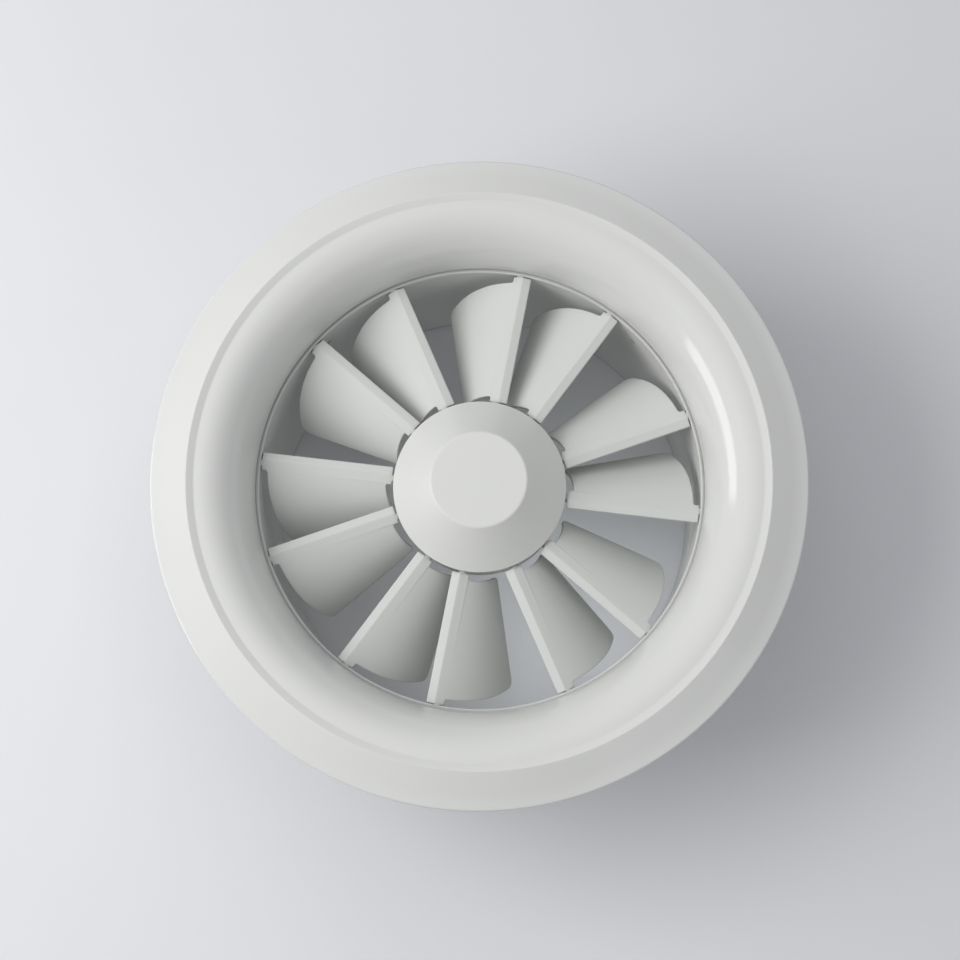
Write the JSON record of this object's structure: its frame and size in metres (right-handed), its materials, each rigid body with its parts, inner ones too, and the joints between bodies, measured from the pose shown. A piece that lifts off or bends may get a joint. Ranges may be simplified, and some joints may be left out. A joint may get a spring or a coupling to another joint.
{
  "type": "ceiling air diffuser",
  "caption": "Round white swirl diffuser for a ceiling duct: flared face ring, neck tube, and curved blades that turn together from a conical hub cap.",
  "frame": {"origin": "centre of the neck's rear rim, where the diffuser stands when laid face up", "axes": "+Z along the duct axis out of the face into the room; +X is a fixed direction across the face, 18.95 degrees before the first blade's pivot"},
  "size_m": [0.282, 0.282, 0.1231],
  "materials": {
    "housing_plastic": "warm white, satin moulded ABS",
    "neck_plastic": "warm white, satin moulded ABS",
    "blade_plastic": "warm white, satin moulded ABS",
    "cap_plastic": "warm white, satin moulded ABS",
    "hub_plastic": "fine-grained moulded ABS",
    "gasket_foam": "closed-cell foam",
    "washer_nylon": "natural nylon",
    "steel": "zinc plated"
  },
  "bodies": {
    "housing": {"face_ring": "housing_plastic", "neck_ring": "neck_plastic", "collar_screws": "steel", "ceiling_gasket": "gasket_foam", "hub_rear_carrier": "hub_plastic", "hub_front_carrier": "hub_plastic", "carrier_screws": "steel", "friction_washer": "washer_nylon", "centre_washer": "steel", "centre_screw": "steel"},
    "control": {"control_ring": "hub_plastic", "hub_cap": "cap_plastic"},
    "blade_01_body": {"blade_01": "blade_plastic"},
    "blade_02_body": {"blade_02": "blade_plastic"},
    "blade_03_body": {"blade_03": "blade_plastic"},
    "blade_04_body": {"blade_04": "blade_plastic"},
    "blade_05_body": {"blade_05": "blade_plastic"},
    "blade_06_body": {"blade_06": "blade_plastic"},
    "blade_07_body": {"blade_07": "blade_plastic"},
    "blade_08_body": {"blade_08": "blade_plastic"},
    "blade_09_body": {"blade_09": "blade_plastic"},
    "blade_10_body": {"blade_10": "blade_plastic"},
    "blade_11_body": {"blade_11": "blade_plastic"},
    "blade_12_body": {"blade_12": "blade_plastic"}
  },
  "joints": [
    {"name": "cap_turn", "type": "hinge", "parent": "housing", "child": "control", "pos_m": [0, 0, 0.0908], "axis": [0, 0, 1], "range_deg": [-9.34, 5.19]},
    {"name": "blade_01_pivot", "type": "hinge", "parent": "housing", "child": "blade_01_body", "pos_m": [0, 0, 0.0908], "axis": [0.9458, 0.3247, 0], "range_deg": [-36, 20]},
    {"name": "blade_02_pivot", "type": "hinge", "parent": "housing", "child": "blade_02_body", "pos_m": [0, 0, 0.0908], "axis": [0.5983, 0.8013, 0], "range_deg": [-36, 20]},
    {"name": "blade_03_pivot", "type": "hinge", "parent": "housing", "child": "blade_03_body", "pos_m": [0, 0, 0.0908], "axis": [0.1917, 0.9815, 0], "range_deg": [-36, 20]},
    {"name": "blade_04_pivot", "type": "hinge", "parent": "housing", "child": "blade_04_body", "pos_m": [0, 0, 0.0908], "axis": [-0.3947, 0.9188, 0], "range_deg": [-36, 20]},
    {"name": "blade_05_pivot", "type": "hinge", "parent": "housing", "child": "blade_05_body", "pos_m": [0, 0, 0.0908], "axis": [-0.7541, 0.6567, 0], "range_deg": [-36, 20]},
    {"name": "blade_06_pivot", "type": "hinge", "parent": "housing", "child": "blade_06_body", "pos_m": [0, 0, 0.0908], "axis": [-0.9931, 0.1175, 0], "range_deg": [-36, 20]},
    {"name": "blade_07_pivot", "type": "hinge", "parent": "housing", "child": "blade_07_body", "pos_m": [0, 0, 0.0908], "axis": [-0.9458, -0.3247, 0], "range_deg": [-36, 20]},
    {"name": "blade_08_pivot", "type": "hinge", "parent": "housing", "child": "blade_08_body", "pos_m": [0, 0, 0.0908], "axis": [-0.5983, -0.8013, 0], "range_deg": [-36, 20]},
    {"name": "blade_09_pivot", "type": "hinge", "parent": "housing", "child": "blade_09_body", "pos_m": [0, 0, 0.0908], "axis": [-0.1917, -0.9815, 0], "range_deg": [-36, 20]},
    {"name": "blade_10_pivot", "type": "hinge", "parent": "housing", "child": "blade_10_body", "pos_m": [0, 0, 0.0908], "axis": [0.3947, -0.9188, 0], "range_deg": [-36, 20]},
    {"name": "blade_11_pivot", "type": "hinge", "parent": "housing", "child": "blade_11_body", "pos_m": [0, 0, 0.0908], "axis": [0.7541, -0.6567, 0], "range_deg": [-36, 20]},
    {"name": "blade_12_pivot", "type": "hinge", "parent": "housing", "child": "blade_12_body", "pos_m": [0, 0, 0.0908], "axis": [0.9931, -0.1175, 0], "range_deg": [-36, 20]}
  ],
  "couplings": [
    {"joint": "blade_01_pivot", "follows": "cap_turn", "ratio": 3.852},
    {"joint": "blade_02_pivot", "follows": "cap_turn", "ratio": 3.852},
    {"joint": "blade_03_pivot", "follows": "cap_turn", "ratio": 3.852},
    {"joint": "blade_04_pivot", "follows": "cap_turn", "ratio": 3.852},
    {"joint": "blade_05_pivot", "follows": "cap_turn", "ratio": 3.852},
    {"joint": "blade_06_pivot", "follows": "cap_turn", "ratio": 3.852},
    {"joint": "blade_07_pivot", "follows": "cap_turn", "ratio": 3.852},
    {"joint": "blade_08_pivot", "follows": "cap_turn", "ratio": 3.852},
    {"joint": "blade_09_pivot", "follows": "cap_turn", "ratio": 3.852},
    {"joint": "blade_10_pivot", "follows": "cap_turn", "ratio": 3.852},
    {"joint": "blade_11_pivot", "follows": "cap_turn", "ratio": 3.852},
    {"joint": "blade_12_pivot", "follows": "cap_turn", "ratio": 3.852}
  ]
}
